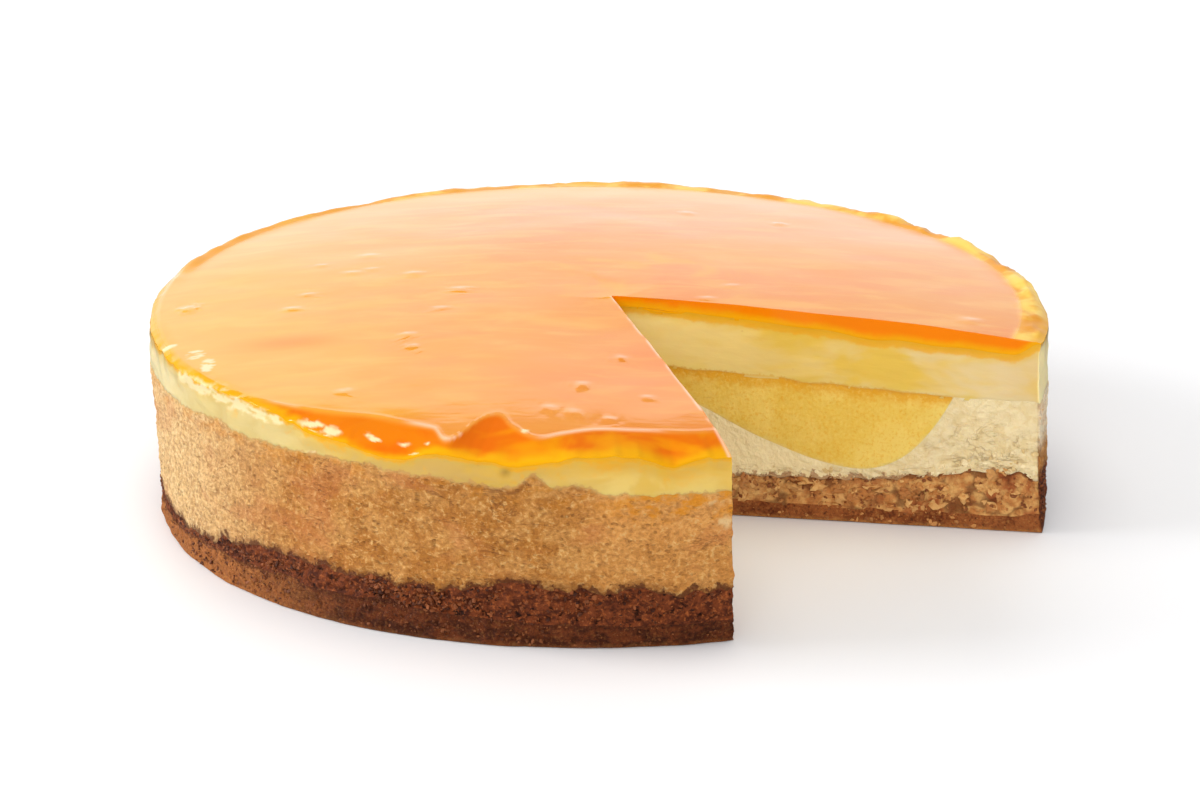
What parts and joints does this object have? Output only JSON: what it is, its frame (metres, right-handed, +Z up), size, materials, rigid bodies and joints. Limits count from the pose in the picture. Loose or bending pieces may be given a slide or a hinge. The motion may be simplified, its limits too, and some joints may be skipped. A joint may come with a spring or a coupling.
{
  "type": "key lime cheesecake",
  "caption": "Round layered cheesecake on a crumb and nut base, with lime curd, mousse and a glossy citrus glaze, and a wedge cut out of it.",
  "frame": {"origin": "centre of the round base, on its flat bottom", "axes": "+Z up out of the top of the cake; the missing wedge opens towards +X -Y, with its near cut face about along +X and its far one about along -Y"},
  "size_m": [0.2377, 0.2332, 0.0592],
  "materials": {
    "base_crumb": "matte, fine grained",
    "nut_crumb": "matte, coarse crumb",
    "baked_cheese": "soft satin, baked tan outside",
    "lime_curd": "moist satin",
    "mousse": "smooth satin",
    "glaze": "wet gloss"
  },
  "bodies": {
    "root": {"crumb_base": "base_crumb", "nut_crumb": "nut_crumb", "cheesecake": "baked_cheese", "lime_curd_ring": "lime_curd", "lime_mousse": "mousse", "citrus_glaze": "glaze"}
  },
  "joints": []
}
